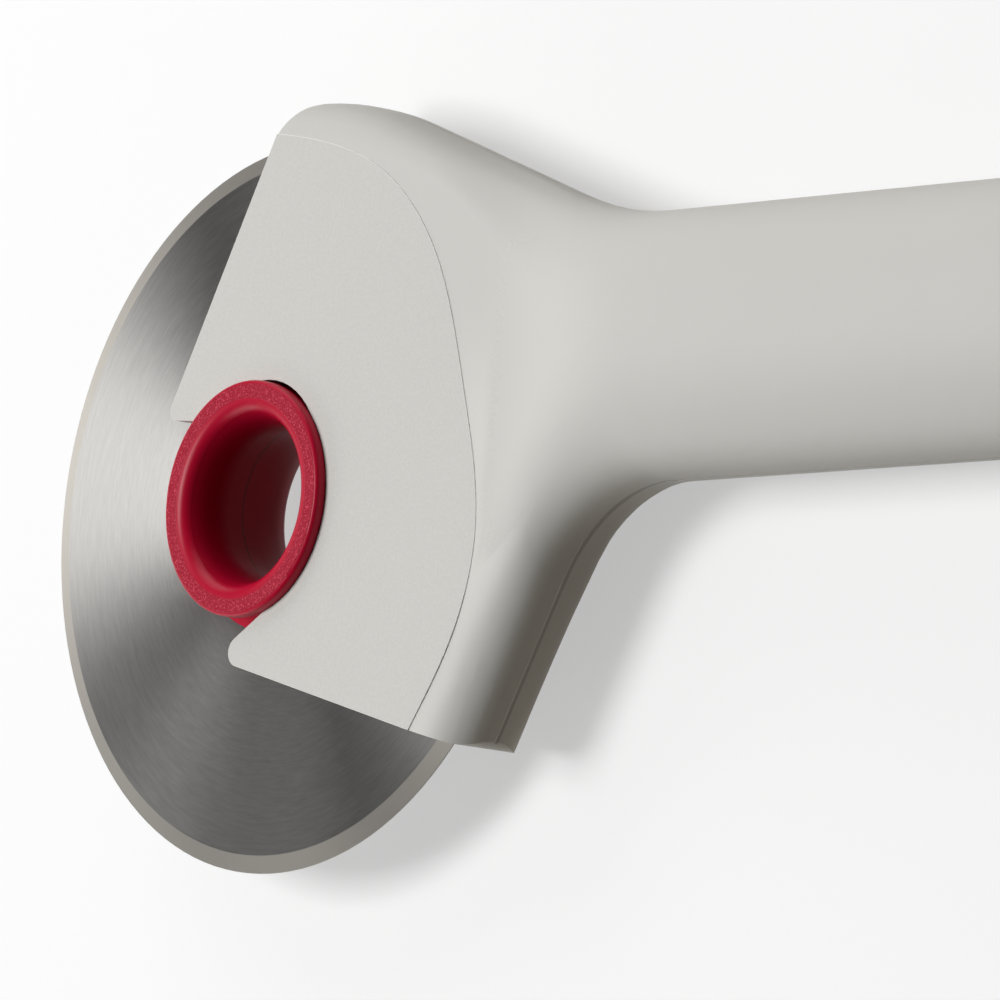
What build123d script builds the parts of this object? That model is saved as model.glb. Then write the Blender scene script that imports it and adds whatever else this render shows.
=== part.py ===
from build123d import *
import os
from math import atan2, cos, exp, log, pi, radians, sin, sqrt, tan

os.makedirs("parts", exist_ok=True)

# Pizza cutter wheel, lying on its side. The origin is the centre of the wheel, +X runs along the
# handle, +Z is the wheel's axle and +Y is the edge of the handle that is up when the cutter stands
# on its wheel. The near half is the upper one. All lengths are in millimetres.

# Blade disc
blade_radius = 37.5
blade_thickness = 1.0
bevel_width = 1.8
cutting_edge_thickness = 0.12

# Hub: two red halves that meet inside the blade's hole, with a finger hole right through
hub_length = 14.0
finger_hole_radius = 8.0
finger_hole_land = 4.0
finger_hole_flare = 0.9
mouth_lip_height = 0.85
hub_ring_wall = 4.1
hub_ring_edge_round = 0.45
hub_proud = 1.2
journal_relief = 0.5
collar_reach = 1.4
collar_thickness = 1.5
core_wall = 2.24
core_running_gap = 0.06
blade_side_gap = 0.1
hub_peg_count = 4
hub_peg_radius = 0.55
hub_peg_length = 1.4
hub_peg_gap = 0.08
hub_peg_end_gap = 0.3

# Guard: two cheeks with the blade's slot between them, and the open seat that the hub drops into
cheek_side_gap = 0.3
ring_over_cheek_gap = 0.08
plate_rise = 0.12
slot_gap = 0.8
seat_gap = 0.55
seat_relief_radius = 9.0
seat_relief_shift = 3.5
seat_relief_angle = 65.0
roof_wall = 2.9
crown_offset = 1.1
crown_radius_share = 1.233
shoulder_angle = 20.0
rear_wall = 3.95
guard_floor_share = -1.45
floor_blend_share = 0.2
rear_angle = 61.6
rear_corner_radius = 2.2
rear_corner_run = 8.0
rear_corner_clear = 0.05
front_lean = 27.1
front_wall = 4.70
bottom_slope = 14.7
bottom_wall = 4.39
mouth_angle = 211.0
mouth_gap = 0.15
upper_lip_slope = 3.5
lip_nose_radius = 1.5
lip_corner_radius = 1.1
plate_edge_round = 0.07
plate_curve_shares = [
    (-0.600, 1.040),
    (-0.100, 1.012),
    (0.200, 0.968),
    (0.450, 0.880),
    (0.696, 0.653),
    (0.869, 0.243),
    (0.951, -0.136),
    (0.891, -0.387),
    (0.747, -0.627),
    (0.600, -0.870),
]

# Handle: two shells that meet in the plane of the blade
handle_width = 26.6
handle_thickness = 19.0
handle_reach = 172.0
handle_end_round = 13.0
neck_top_radius = 49.4
neck_low_radius = 17.7
shell_wall = 2.4
seam_groove_depth = 0.25
seam_groove_width = 0.3
cavity_start_share = 0.80
cavity_end_share = 0.45
rib_thickness = 1.6
rib_count = 3
peg_radius = 2.0
peg_wall = 1.8
peg_reach = 3.0
peg_gap = 0.1
peg_end_gap = 0.4
peg_shares = [0.14, 0.62, 0.90]
guard_peg_wall = 3.2
guard_peg_angle = 32.0

# What the cuts run past the surfaces that they open
overrun = 10.0
right_angle = 90.0

# The plane of the blade, and a plane through the axle for what is turned about it
blade_plane = Plane.XY
radial_plane = Plane.XZ

# Sizes that follow
blade_half = blade_thickness / 2
hub_half = hub_length / 2
cheek_face = hub_half - hub_proud
collar_inner = blade_half + blade_side_gap
collar_outer = collar_inner + collar_thickness
slot_half = collar_outer + cheek_side_gap
slot_radius = blade_radius + slot_gap
core_radius = finger_hole_radius + core_wall
blade_hole_radius = core_radius + core_running_gap
finger_hole_mouth_radius = finger_hole_radius + finger_hole_flare
hub_ring_radius = finger_hole_radius + hub_ring_wall
journal_radius = hub_ring_radius - journal_relief
collar_radius = journal_radius + collar_reach
seat_radius = journal_radius + seat_gap
mouth_half = journal_radius + mouth_gap
front_offset = seat_radius + front_wall
bottom_offset = seat_radius + bottom_wall
guard_half = cheek_face - plate_rise
handle_half = handle_thickness / 2
handle_axis = handle_width / 2

# The guard's outline in the seam plane: a crown arc over the blade, a straight shoulder and a
# hollow arc down to the handle's top edge, and behind the blade a straight back with another
# hollow arc up to the handle's lower edge, which is level with the wheel's centre
crown_radius = blade_radius * crown_radius_share
crown_height = slot_radius + roof_wall
crown_y = crown_height - crown_radius
slope = radians(shoulder_angle)
shoulder_x = crown_offset + crown_radius * sin(slope)
shoulder_y = crown_y + crown_radius * cos(slope)
shoulder_foot_x = shoulder_x + (shoulder_y - handle_width) / tan(slope)
neck_top_end = shoulder_foot_x + neck_top_radius * tan(slope / 2)
neck_top_start = neck_top_end - neck_top_radius * sin(slope)
back = radians(rear_angle)
rear_offset = slot_radius + rear_wall
rear_foot_x = rear_offset / sin(back)
neck_low_end = rear_foot_x + neck_low_radius * tan(back / 2)
neck_low_start = neck_low_end - neck_low_radius * sin(back)
neck_end = max(neck_top_end, neck_low_end)
guard_floor = crown_height * guard_floor_share
floor_blend = crown_height * floor_blend_share


def top_edge(x):
    """Height of the outline's upper edge at x."""
    if x >= neck_top_end:
        return handle_width
    if x >= neck_top_start:
        drop = sqrt(neck_top_radius**2 - (neck_top_end - x) ** 2)
        return handle_width + neck_top_radius - drop
    if x >= shoulder_x:
        return shoulder_y - (x - shoulder_x) * tan(slope)
    return crown_y + sqrt(crown_radius**2 - (x - crown_offset) ** 2)


def low_edge(x):
    """Height of the outline's lower edge at x, run on below the guard's bottom cut."""
    if x >= neck_low_end:
        return 0
    if x >= neck_low_start:
        return sqrt(neck_low_radius**2 - (neck_low_end - x) ** 2) - neck_low_radius
    above_floor = (x - rear_foot_x) * tan(back) - guard_floor
    return guard_floor + floor_blend * log(1 + exp(above_floor / floor_blend))


# Sections across the guard, the neck and the handle. From the guard to the handle the half
# thickness swells, the rounding grows softer and the rounded bands at both edges widen until
# they meet at the handle's axis. Each change runs between two shares of the neck's end
guard_upper_fullness = 1.95
guard_lower_fullness = 2.4
handle_fullness = 2.2
end_fullness = 2.5
swell_shares = (0.56, 1.04)
fullness_shares = (0.48, 0.89)
upper_band_shares = (0.34, 1.04)
lower_band_shares = (0.43, 1.03)
upper_band_least_share = 0.158
lower_band_least_share = 0.31
band_most_share = 0.97
section_start_share = -0.28
section_spacing_share = 0.045
neck_overlap_share = 1.16
handle_station_shares = [0.08, 0.22, 0.42, 0.62, 0.80, 0.93, 1.00]
end_station_shares = [0.28, 0.52, 0.72, 0.86, 0.95, 1.00]
end_flat_share = 0.97
arc_steps = 6
cavity_neck_steps = 6
cavity_station_shares = [0.10, 0.30, 0.55, 0.78, 0.92, 1.00]


def ease(x, shares):
    """A smooth rise from 0 to 1 between two shares of the neck's end."""
    start, end = shares
    t = min(max((x / neck_end - start) / (end - start), 0), 1)
    return t**3 * (10 - 15 * t + 6 * t**2)


def between(least, most, share):
    return least + (most - least) * share


def end_shrink(x):
    """How much of the section is left in the rounded end of the handle."""
    along = max(x - end_start, 0) / handle_end_round * end_flat_share
    return (1 - along**end_fullness) ** (1 / end_fullness)


end_start = handle_reach - handle_end_round
section_start = section_start_share * neck_end
section_spacing = section_spacing_share * neck_end
neck_run = neck_overlap_share * neck_end - section_start
neck_count = round(neck_run / section_spacing)
plain_start = section_start + neck_run
stations = [section_start + neck_run * i / neck_count for i in range(neck_count + 1)]
stations += [between(plain_start, end_start, share) for share in handle_station_shares]
stations += [between(end_start, handle_reach, share) for share in end_station_shares]


def rounding(width, height, fullness, step):
    """A point of the rounded edge, from the flat of the section, step 0, to its rim."""
    angle = step / arc_steps * pi / 2
    return width * sin(angle) ** (2 / fullness), height * cos(angle) ** (2 / fullness)


def half_section(x, inset=0):
    """The near half of the section at x, or the core a wall's thickness inside it."""
    groove = 0 if inset else seam_groove_depth
    softer = ease(x, fullness_shares)
    low_full = between(guard_lower_fullness, handle_fullness, softer)
    high_full = between(guard_upper_fullness, handle_fullness, softer)
    half = between(guard_half, handle_half, ease(x, swell_shares))
    low_band = between(lower_band_least_share, band_most_share, ease(x, lower_band_shares))
    high_band = between(upper_band_least_share, band_most_share, ease(x, upper_band_shares))
    low = handle_axis + (low_edge(x) - handle_axis) * end_shrink(x) + inset
    high = handle_axis + (top_edge(x) - handle_axis) * end_shrink(x) - inset
    rise = half * end_shrink(x) - inset - seam_groove_width
    flat_low = between(low, handle_axis, low_band)
    flat_high = between(high, handle_axis, high_band)
    lower = []
    upper = []
    for step in range(arc_steps + 1):
        run, up = rounding(flat_low - low, rise, low_full, arc_steps - step)
        lower.append((flat_low - run, seam_groove_width + up))
        run, up = rounding(high - flat_high, rise, high_full, step)
        upper.append((flat_high + run, seam_groove_width + up))
    grid = [step / arc_steps for step in range(arc_steps + 1)]
    across = Plane(origin=(x, 0, 0), x_dir=(0, 1, 0), z_dir=(1, 0, 0))
    with BuildSketch(across) as section:
        with BuildLine():
            Line((low + groove, 0), lower[0])
            add(Edge.make_spline(lower, tangents=[(0, 1), (1, 0)], parameters=grid))
            Line(lower[-1], upper[0])
            add(Edge.make_spline(upper, tangents=[(1, 0), (0, -1)], parameters=grid))
            Line(upper[-1], (high - groove, 0))
            Line((high - groove, 0), (low + groove, 0))
        make_face()
    return section.sketch


# The guard seen from the side. The front is cut off along a leaning line and the bottom along a
# sloping one, and the hub's seat opens between them, in the direction that the hub leaves by. At
# the back the outline first follows the guard's straight back, to round the corner there. The seat
# is relieved over the ring, where the photograph shows a gap
lean = radians(front_lean)
fall = radians(bottom_slope)
lip_slope = radians(upper_lip_slope)
out = Vector(1, 0).rotate(Axis.Z, mouth_angle)
side = out.rotate(Axis.Z, -right_angle)
seat_relief = Vector(seat_relief_shift, 0).rotate(Axis.Z, seat_relief_angle)
front_point = Vector(-cos(lean), sin(lean)) * front_offset
front_run = Vector(sin(lean), cos(lean))
bottom_point = Vector(-sin(fall), -cos(fall)) * bottom_offset
bottom_run = Vector(cos(fall), -sin(fall))
lip_run = Vector(-cos(lip_slope), sin(lip_slope))
rear_run = Vector(cos(back), sin(back))
rear_point = Vector(rear_foot_x, 0) + Vector(sin(back), -cos(back)) * rear_corner_clear


def mouth_corner(across):
    """Where the seat's circle meets a line along the way out, this far to its side."""
    return side * across + out * sqrt(seat_radius**2 - across**2)


def off_axle(point):
    """How far a point is from the wheel's axle."""
    return sqrt(point.X**2 + point.Y**2)


def crossing(point, run, other, other_run):
    """Where two lines cross, each given by a point and a direction."""
    gap = other - point
    turn = run.X * other_run.Y - run.Y * other_run.X
    return point + run * ((gap.X * other_run.Y - gap.Y * other_run.X) / turn)


upper_corner = mouth_corner(mouth_half)
lower_corner = mouth_corner(-mouth_half)
upper_tip = crossing(upper_corner, lip_run, front_point, front_run)
lower_tip = crossing(lower_corner, out, bottom_point, bottom_run)
clear_height = crown_height + overrun
clear_reach = handle_reach + overrun
front_top = crossing(Vector(0, clear_height), Vector(1, 0), front_point, front_run)
rear_corner = crossing(bottom_point, bottom_run, rear_point, rear_run)
rear_leave = rear_corner + rear_run * rear_corner_run
rear_side = (clear_reach, rear_leave.Y)
seat_back = -out * seat_radius

with BuildSketch(blade_plane) as guard_side:
    with BuildLine():
        Polyline(front_top, upper_tip, upper_corner)
        ThreePointArc(upper_corner, seat_back, lower_corner)
        Polyline(lower_corner, lower_tip, rear_corner, rear_leave, rear_side)
        Polyline(rear_side, (clear_reach, clear_height), front_top)
    make_face()
    fillet(guard_side.vertices().sort_by_distance(lower_tip)[0], lip_nose_radius)
    fillet(guard_side.vertices().sort_by_distance(upper_tip)[0], lip_corner_radius)
    fillet(guard_side.vertices().sort_by_distance(rear_corner)[0], rear_corner_radius)
    with Locations(seat_relief):
        Circle(seat_relief_radius, mode=Mode.SUBTRACT)

# The textured plate that stands a little proud on the cheek, bounded at the back by a curve round
# the hidden blade
clear_front = section_start - overrun
with BuildSketch(blade_plane.offset(slot_half)) as plate_side:
    with BuildLine():
        rim = Spline([(x * blade_radius, y * blade_radius) for x, y in plate_curve_shares])
        Polyline(rim @ 1, (clear_front, guard_floor), (clear_front, (rim @ 0).Y), rim @ 0)
    make_face()

# What is hollow inside each half of the handle, with cross ribs and the bosses of the pegs left
cavity_start = cavity_start_share * neck_end
cavity_end = between(end_start, handle_reach, cavity_end_share)
cavity_neck = [cavity_start + section_spacing * i for i in range(cavity_neck_steps)]
cavity_rest = [between(cavity_neck[-1], cavity_end, share) for share in cavity_station_shares]
boss_places = [(between(cavity_start, cavity_end, share), handle_axis) for share in peg_shares]
guard_peg = Vector(slot_radius + guard_peg_wall + peg_radius, 0).rotate(Axis.Z, guard_peg_angle)
peg_places = boss_places + [(guard_peg.X, guard_peg.Y)]
rib_places = [
    (between(cavity_start, cavity_end, (i + 1) / (rib_count + 1)), handle_axis)
    for i in range(rib_count)
]

with BuildPart() as cavity:
    loft([half_section(x, shell_wall) for x in cavity_neck + cavity_rest])
    with BuildSketch(blade_plane):
        with Locations(rib_places):
            Rectangle(rib_thickness, handle_width)
        with Locations(boss_places):
            Circle(peg_radius + peg_wall)
    extrude(amount=handle_half, mode=Mode.SUBTRACT)

with BuildPart() as half_shell:
    loft([half_section(x) for x in stations])
    extrude(plate_side.sketch, amount=cheek_face - slot_half)
    extrude(guard_side.sketch, amount=handle_half + overrun, mode=Mode.INTERSECT)
    with BuildSketch(blade_plane):
        Circle(slot_radius)
    extrude(amount=slot_half, mode=Mode.SUBTRACT)
    add(cavity.part, mode=Mode.SUBTRACT)
    plate = half_shell.faces().filter_by(GeomType.PLANE).filter_by(Axis.Z).sort_by(Axis.Z)[-1]
    outer_edges = plate.edges().filter_by(lambda edge: off_axle(edge @ 0.5) > collar_radius)
    fillet(outer_edges, plate_edge_round)

# Near shell: it carries the locating pegs
with BuildPart() as near_shell:
    add(half_shell.part)
    with BuildSketch(blade_plane.offset(-peg_reach)):
        with Locations(peg_places):
            Circle(peg_radius)
    extrude(amount=peg_reach)
near_shell.part.label = "near_shell"
export_step(near_shell.part, "parts/near_shell.step")

# Far shell: the mirrored half, with a socket for each peg
with BuildPart() as far_shell:
    add(mirror(half_shell.part, about=blade_plane, mode=Mode.PRIVATE))
    with BuildSketch(blade_plane.offset(-peg_reach - peg_end_gap)):
        with Locations(peg_places):
            Circle(peg_radius + peg_gap)
    extrude(amount=peg_reach + peg_end_gap, mode=Mode.SUBTRACT)
far_shell.part.label = "far_shell"
export_step(far_shell.part, "parts/far_shell.step")

# Blade disc: flat, with a bevel on both sides up to the cutting edge
bevel_start = blade_radius - bevel_width
edge_half = cutting_edge_thickness / 2
with BuildPart() as blade_disc:
    with BuildSketch(radial_plane):
        Polygon(
            (blade_hole_radius, -blade_half),
            (bevel_start, -blade_half),
            (blade_radius, -edge_half),
            (blade_radius, edge_half),
            (bevel_start, blade_half),
            (blade_hole_radius, blade_half),
            align=None,
        )
    revolve(axis=Axis.Z)
blade_disc.part.label = "blade_disc"
export_step(blade_disc.part, "parts/blade_disc.step")

# Hub half: finger hole with a flared mouth, ring standing proud of the cheek, journal in the
# seat, collar between the cheek and the blade, and core inside the blade's hole
land_end = finger_hole_land / 2
flare_end = hub_half - mouth_lip_height
flare_turn = 2 * atan2(finger_hole_mouth_radius - finger_hole_radius, flare_end - land_end)
lip_radius = mouth_lip_height / (1 - sin(flare_turn))
ring_inner = finger_hole_mouth_radius + lip_radius * cos(flare_turn)
ring_base = cheek_face + ring_over_cheek_gap
hub_peg_circle = (finger_hole_radius + core_radius) / 2

with BuildPart() as half_hub:
    with BuildSketch(radial_plane):
        with BuildLine():
            Line((finger_hole_radius, 0), (finger_hole_radius, land_end))
            flare = TangentArc(
                (finger_hole_radius, land_end),
                (finger_hole_mouth_radius, flare_end),
                tangent=(0, 1),
            )
            TangentArc(flare @ 1, (ring_inner, hub_half), tangent=flare % 1)
            Line((ring_inner, hub_half), (hub_ring_radius - hub_ring_edge_round, hub_half))
            TangentArc(
                (hub_ring_radius - hub_ring_edge_round, hub_half),
                (hub_ring_radius, hub_half - hub_ring_edge_round),
                tangent=(1, 0),
            )
            Polyline(
                (hub_ring_radius, hub_half - hub_ring_edge_round),
                (hub_ring_radius, ring_base),
                (journal_radius, ring_base),
                (journal_radius, collar_outer),
                (collar_radius, collar_outer),
                (collar_radius, collar_inner),
                (core_radius, collar_inner),
                (core_radius, 0),
                (finger_hole_radius, 0),
            )
        make_face()
    revolve(axis=Axis.Z)

with BuildPart() as hub_near_half:
    add(half_hub.part)
    with BuildSketch(blade_plane.offset(-hub_peg_length)):
        with PolarLocations(hub_peg_circle, hub_peg_count):
            Circle(hub_peg_radius)
    extrude(amount=hub_peg_length)
hub_near_half.part.label = "hub_near_half"
export_step(hub_near_half.part, "parts/hub_near_half.step")

with BuildPart() as hub_far_half:
    add(mirror(half_hub.part, about=blade_plane, mode=Mode.PRIVATE))
    with BuildSketch(blade_plane.offset(-hub_peg_length - hub_peg_end_gap)):
        with PolarLocations(hub_peg_circle, hub_peg_count):
            Circle(hub_peg_radius + hub_peg_gap)
    extrude(amount=hub_peg_length + hub_peg_end_gap, mode=Mode.SUBTRACT)
hub_far_half.part.label = "hub_far_half"
export_step(hub_far_half.part, "parts/hub_far_half.step")
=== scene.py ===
import bpy
from math import pi
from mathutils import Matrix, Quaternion, Vector


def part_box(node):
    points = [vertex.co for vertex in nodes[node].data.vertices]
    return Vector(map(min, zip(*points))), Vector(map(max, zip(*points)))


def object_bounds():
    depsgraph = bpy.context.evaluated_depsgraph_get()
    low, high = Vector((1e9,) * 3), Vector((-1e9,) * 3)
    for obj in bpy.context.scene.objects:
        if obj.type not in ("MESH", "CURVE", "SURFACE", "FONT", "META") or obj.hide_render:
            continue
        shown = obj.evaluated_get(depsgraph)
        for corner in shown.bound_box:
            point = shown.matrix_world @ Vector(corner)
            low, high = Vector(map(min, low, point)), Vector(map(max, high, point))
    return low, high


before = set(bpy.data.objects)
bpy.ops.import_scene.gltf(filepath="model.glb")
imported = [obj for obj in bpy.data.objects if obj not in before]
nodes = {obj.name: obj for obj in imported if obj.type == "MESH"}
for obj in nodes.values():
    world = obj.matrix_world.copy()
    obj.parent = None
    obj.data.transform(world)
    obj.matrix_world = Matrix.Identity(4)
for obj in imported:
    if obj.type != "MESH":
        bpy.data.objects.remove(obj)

cad_box = [list(corner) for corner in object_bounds()]
scene = bpy.context.scene
scene.view_settings.view_transform = "Standard"

# Sizes that the materials follow, in metres. Heights are measured from the blade's plane, radii from
# the axle, x along the handle and y across it
hub_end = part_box("hub_near_half")[1][2]
disc_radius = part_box("blade_disc")[1][0]
hub_proud = 0.0012
plate_rise = 0.00012
bevel_width = 0.0018
plate_height = hub_end - hub_proud
guard_height = plate_height - plate_rise
bevel_start = disc_radius - bevel_width

# Camera, fitted to the outlines in the photograph
camera_data = bpy.data.cameras.new("camera")
camera_data.sensor_width = 36.0
camera_data.lens = 389.662
camera_data.clip_start = 0.05
camera_data.clip_end = 20.0
camera = bpy.data.objects.new("camera", camera_data)
camera.rotation_mode = "QUATERNION"
camera.location = (0.846141, -0.127245, 0.691592)
camera.rotation_quaternion = Quaternion((0.906368, 0.067921, 0.416941, 0.006609))
scene.collection.objects.link(camera)
scene.camera = camera


class Shader:
    """A material's node tree, with short calls to add and join its nodes."""

    def __init__(self, name):
        self.material = bpy.data.materials.new(name)
        self.material.use_nodes = True
        self.tree = self.material.node_tree
        self.tree.nodes.clear()
        self.output = self.add("ShaderNodeOutputMaterial")

    def add(self, kind, **values):
        node = self.tree.nodes.new(kind)
        for key, value in values.items():
            setattr(node, key, value)
        return node

    def feed(self, socket, value):
        """Sets an input from a socket or from a plain value."""
        if isinstance(value, bpy.types.NodeSocket):
            self.tree.links.new(value, socket)
        else:
            socket.default_value = value

    def put(self, node, **inputs):
        """Sets inputs by name, with each space written as an underscore."""
        for key, value in inputs.items():
            self.feed(node.inputs[key.replace("_", " ")], value)
        return node

    def math(self, operation, *values):
        node = self.add("ShaderNodeMath", operation=operation)
        for socket, value in zip(node.inputs, values):
            self.feed(socket, value)
        return node.outputs[0]

    def product(self, first, *others):
        for other in others:
            first = self.math("MULTIPLY", first, other)
        return first

    def parts(self, vector):
        """The three components of a vector."""
        node = self.add("ShaderNodeSeparateXYZ")
        self.feed(node.inputs[0], vector)
        return node.outputs

    def place(self):
        """Finds where a point is, in object space, which way it faces and its radius."""
        coords = self.add("ShaderNodeTexCoord")
        self.where = coords.outputs["Object"]
        self.facing = coords.outputs["Normal"]
        self.x, self.y, self.z = self.parts(self.where)
        squares = self.math("ADD", self.product(self.x, self.x), self.product(self.y, self.y))
        self.radius = self.math("SQRT", squares)

    def ramp(self, value, start, end):
        """0 up to start, 1 from end on and smooth between. End may be the smaller one."""
        node = self.add("ShaderNodeMapRange", interpolation_type="SMOOTHSTEP")
        self.put(node, Value=value, From_Min=start, From_Max=end)
        return node.outputs[0]

    def scaled(self, value, least, most):
        """A 0 to 1 value stretched to the range from least to most."""
        node = self.add("ShaderNodeMapRange")
        self.put(node, Value=value, To_Min=least, To_Max=most)
        return node.outputs[0]

    def noise(self, vector, scale, detail, roughness):
        node = self.add("ShaderNodeTexNoise")
        self.put(node, Vector=vector, Scale=scale, Detail=detail, Roughness=roughness)
        return node.outputs[0]

    def blend(self, factor, first, second):
        node = self.add("ShaderNodeMix", data_type="RGBA")
        self.put(node, Factor=factor)
        self.feed(node.inputs["A"], first)
        self.feed(node.inputs["B"], second)
        return node.outputs["Result"]

    def tint(self, colour, factor):
        """A colour made lighter or darker by a factor."""
        node = self.add("ShaderNodeVectorMath", operation="SCALE")
        self.feed(node.inputs[0], colour)
        self.put(node, Scale=factor)
        return node.outputs[0]

    def bump(self, height, distance, strength):
        node = self.add("ShaderNodeBump")
        self.put(node, Height=height, Distance=distance, Strength=strength)
        return node.outputs[0]

    def surface(self, **inputs):
        node = self.put(self.add("ShaderNodeBsdfPrincipled"), **inputs)
        self.feed(self.output.inputs["Surface"], node.outputs[0])


def painted_edge_highlight(s, height):
    """1 on the rounded edge and the little wall round a plate, where a highlight is painted into the
    colour.
    """
    edge_height = plate_height - 0.00005
    edge_reach = 0.00007
    lean = s.math("ABSOLUTE", s.parts(s.facing)[2])
    tilted = s.ramp(lean, start=0.985, end=0.93)
    at_edge = s.math("COMPARE", height, edge_height, edge_reach)
    before_neck = s.ramp(s.x, start=0.0374, end=0.0370)
    return s.product(tilted, at_edge, before_neck)


def painted_light_band(s, height):
    """1 on the guard just behind the plate, where a paler band of painted light is added to the
    colour.
    """
    margin = 0.00001
    above_slope = s.ramp(height, start=0.0050, end=guard_height)
    below_plate = s.ramp(height, start=plate_height - margin, end=guard_height + margin)
    past_hub = s.ramp(s.x, start=0.020, end=0.028)
    before_neck = s.ramp(s.x, start=0.045, end=0.037)
    below_crown = s.ramp(s.y, start=0.020, end=0.004)
    return s.product(above_slope, below_plate, past_hub, before_neck, below_crown)


def shell_plastic():
    """Pale grey plastic: smooth, but finely sparkled on the flat plate of each cheek, with a painted
    highlight on each plate's edge and a band of painted light behind it.
    """
    pale_grey = (0.617, 0.610, 0.577)
    plate_reach = 0.00006
    # how much painted highlight is added to the colour along each plate's edge
    edge_painted_highlight = 0.5
    # how much painted light is added to the colour on the band behind the plate
    band_painted_light = 0.10
    smooth_relief = 0.04
    s = Shader("shell_plastic")
    s.place()
    height = s.math("ABSOLUTE", s.z)
    at_plate = s.math("COMPARE", height, plate_height, plate_reach)
    on_guard = s.ramp(s.x, start=0.046, end=0.040)
    plate = s.product(at_plate, on_guard)
    grain = s.noise(s.where, scale=3300.0, detail=2.5, roughness=0.65)
    fine = s.noise(s.where, scale=900.0, detail=3.0, roughness=0.6)
    cloud = s.noise(s.where, scale=55.0, detail=2.0, roughness=0.5)
    level = s.scaled(cloud, least=0.985, most=1.015)
    level = s.math("ADD", level, s.product(plate, s.scaled(grain, least=-0.10, most=0.10)))
    # painted highlight: the plate's edge and wall are lightened in the colour
    level = s.math("ADD", level, s.product(painted_edge_highlight(s, height), edge_painted_highlight))
    # painted light: a paler band on the guard just behind the plate
    level = s.math("ADD", level, s.product(painted_light_band(s, height), band_painted_light))
    relief = s.math("ADD", s.product(plate, grain), s.product(fine, smooth_relief))
    s.surface(
        Base_Color=s.tint(pale_grey, level),
        Roughness=0.5,
        Specular_IOR_Level=0.3,
        Normal=s.bump(relief, distance=0.00004, strength=0.6),
    )
    return s.material


def hub_plastic():
    """Red plastic: glossy, with a coarse matte texture on the flat of each ring, and painted shade
    darkening the colour down the bore.
    """
    smooth_red = (0.47, 0.0012, 0.027)
    dark_red = (0.36, 0.001, 0.021, 1.0)
    speck_red = (0.66, 0.06, 0.11, 1.0)
    parting_red = (0.17, 0.002, 0.012, 1.0)
    s = Shader("hub_plastic")
    s.place()
    height = s.math("ABSOLUTE", s.z)
    at_end = s.ramp(height, start=hub_end - 0.00010, end=hub_end - 0.00003)
    off_bore = s.ramp(s.radius, start=0.01018, end=0.01034)
    off_rim = s.ramp(s.radius, start=0.01174, end=0.01164)
    flat = s.product(at_end, off_bore, off_rim)
    grain = s.noise(s.where, scale=4600.0, detail=2.0, roughness=0.7)
    specks = s.ramp(grain, start=0.50, end=0.68)
    off_parting = s.ramp(height, start=0.00006, end=0.00014)
    # painted shade: the red is darkened inside the bore, and its specular is lowered there too
    bore_painted_shade = s.ramp(s.radius, start=0.00885, end=0.00825)
    smooth = s.tint(smooth_red, s.scaled(bore_painted_shade, least=1.0, most=0.72))
    textured = s.blend(specks, dark_red, speck_red)
    colour = s.blend(flat, smooth, textured)
    s.surface(
        Base_Color=s.blend(off_parting, parting_red, colour),
        Roughness=s.scaled(flat, least=0.33, most=0.60),
        Specular_IOR_Level=s.scaled(bore_painted_shade, least=0.2, most=0.1),
        Normal=s.bump(s.product(flat, grain), distance=0.00012, strength=0.8),
    )
    return s.material


def brushed_steel():
    """Steel brushed in circles round the axle, with a plainer and paler ground bevel."""
    flat_grey = (0.300, 0.295, 0.286)
    bevel_grey = (0.41, 0.389, 0.357)
    bevel_blur = 0.00005
    bevel_roughness = 0.15
    lines_across = 3000.0
    lines_around = 9.0
    s = Shader("brushed_steel")
    s.place()
    polar = s.add("ShaderNodeCombineXYZ")
    across = s.product(s.radius, lines_across)
    along_x = s.product(s.math("DIVIDE", s.x, s.radius), lines_around)
    along_y = s.product(s.math("DIVIDE", s.y, s.radius), lines_around)
    s.put(polar, X=across, Y=along_x, Z=along_y)
    lines = s.noise(polar.outputs[0], scale=1.0, detail=3.0, roughness=0.7)
    bevel = s.ramp(s.radius, start=bevel_start - bevel_blur, end=bevel_start + bevel_blur)
    flat_steel = s.tint(flat_grey, s.scaled(lines, least=0.75, most=1.25))
    ground_steel = s.tint(bevel_grey, s.scaled(lines, least=0.94, most=1.06))
    roughness = s.scaled(lines, least=0.39, most=0.51)
    turn = s.add("ShaderNodeTangent", direction_type="RADIAL", axis="Z")
    s.surface(
        Base_Color=s.blend(bevel, flat_steel, ground_steel),
        Metallic=1.0,
        Roughness=s.math("ADD", roughness, s.product(bevel, bevel_roughness)),
        Anisotropic=s.scaled(bevel, least=0.97, most=0.87),
        Anisotropic_Rotation=0.25,
        Tangent=turn.outputs[0],
        Normal=s.bump(lines, distance=0.000006, strength=0.5),
    )
    return s.material


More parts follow.
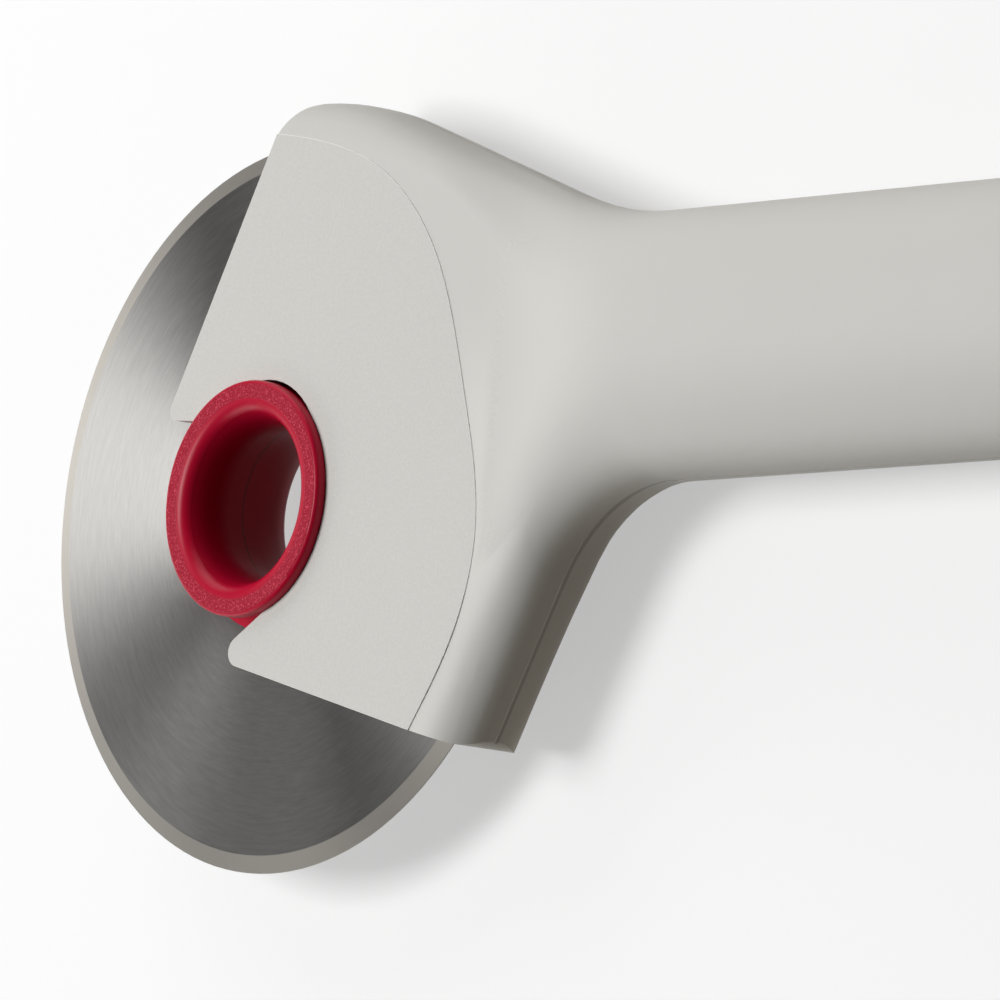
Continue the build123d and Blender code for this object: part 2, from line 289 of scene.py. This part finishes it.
def paper():
    """A pale floor that keeps its brightness to the eye and in reflections, and its shadows.

    What it throws on the underside of the object is dimmer and warmer, as in the photograph.
    """
    bounce_brown = (0.28, 0.235, 0.18, 1.0)
    lit_grey = (0.50, 0.50, 0.50, 1.0)
    glow_grey = (0.475, 0.475, 0.475, 1.0)
    s = Shader("paper")
    rays = s.add("ShaderNodeLightPath").outputs
    seen = s.math("MAXIMUM", rays["Is Camera Ray"], rays["Is Glossy Ray"])
    seen = s.math("MAXIMUM", seen, rays["Is Transmission Ray"])
    bounce = s.put(s.add("ShaderNodeBsdfDiffuse"), Color=bounce_brown)
    lit = s.put(s.add("ShaderNodeBsdfDiffuse"), Color=lit_grey)
    glow = s.put(s.add("ShaderNodeEmission"), Color=glow_grey)
    bright = s.add("ShaderNodeAddShader")
    choice = s.add("ShaderNodeMixShader")
    s.feed(bright.inputs[0], lit.outputs[0])
    s.feed(bright.inputs[1], glow.outputs[0])
    s.feed(choice.inputs[0], seen)
    s.feed(choice.inputs[1], bounce.outputs[0])
    s.feed(choice.inputs[2], bright.outputs[0])
    s.feed(s.output.inputs["Surface"], choice.outputs[0])
    return s.material


def assign(node, material):
    mesh = nodes[node].data
    mesh.materials.clear()
    mesh.materials.append(material)
    for polygon in mesh.polygons:
        polygon.material_index = 0


shell = shell_plastic()
red = hub_plastic()
assign("near_shell", shell)
assign("far_shell", shell)
assign("hub_near_half", red)
assign("hub_far_half", red)
assign("blade_disc", brushed_steel())

# Floor, under the lowest point of the part
floor_level = cad_box[0][2]
bpy.ops.mesh.primitive_plane_add(size=6.0, location=(0, 0, floor_level))
floor = bpy.context.object
floor.name = "floor"
floor.data.materials.append(paper())

# World
world_grey = (0.065, 0.065, 0.065, 1)
world = bpy.data.worlds.new("studio")
world.use_nodes = True
world.node_tree.nodes["Background"].inputs["Color"].default_value = world_grey
scene.world = world

# Lamps, all at one distance from the wheel: name, direction, side and level, which is about how
# bright the lamp makes a white face that is turned to it
lamp_distance = 1.2
lamps = [
    ("key", (-0.30, 0.03, 0.95), 0.5, 0.61),
    ("overhead", (-0.27, 0.02, 0.96), 0.7, 0.18),
    ("back", (0.0, 0.98, 0.21), 0.8, 0.20),
    ("top", (-0.42, 0.80, 0.42), 0.8, 0.235),
    ("left", (-0.98, 0.0, 0.21), 0.8, 0.125),
    ("low", (-0.69, -0.69, 0.21), 0.8, 0.30),
]


def softbox(name, direction, size, level):
    """A square area lamp that faces the wheel."""
    lamp = bpy.data.lights.new(name, "AREA")
    lamp.size = size
    lamp.energy = level * pi**2 * lamp_distance**2
    lamp_object = bpy.data.objects.new(name, lamp)
    way = Vector(direction).normalized()
    lamp_object.location = way * lamp_distance
    lamp_object.rotation_mode = "QUATERNION"
    lamp_object.rotation_quaternion = way.to_track_quat("Z", "Y")
    scene.collection.objects.link(lamp_object)


for values in lamps:
    softbox(*values)
